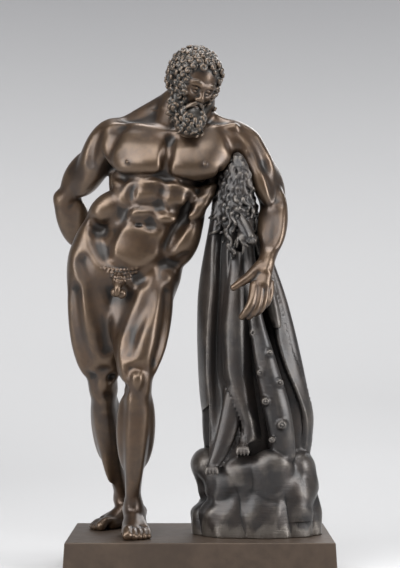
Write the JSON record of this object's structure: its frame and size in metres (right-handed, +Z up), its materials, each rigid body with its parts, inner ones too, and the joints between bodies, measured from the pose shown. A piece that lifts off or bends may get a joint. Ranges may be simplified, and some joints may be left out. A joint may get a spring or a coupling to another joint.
{
  "type": "hercules statue",
  "caption": "Dark bronze nude bearded man resting on a rock, a knotted club and a hanging lion's skin, on a low oblong bronze plinth.",
  "frame": {"origin": "centre of the plinth's underside", "axes": "+Z up the figure, -Y towards the front that the picture shows, +X towards the rock, on the picture's right"},
  "size_m": [0.3476, 0.2248, 0.6332],
  "materials": {
    "figure_bronze": "polished warm brown bronze, rubbed on the heights and dark in the hollows",
    "support_bronze": "blackish bronze, finely chased",
    "plinth_bronze": "dull brown bronze"
  },
  "bodies": {
    "root": {"hercules_figure": "figure_bronze", "rock_club_and_lion_skin": "support_bronze", "plinth": "plinth_bronze"}
  },
  "joints": []
}
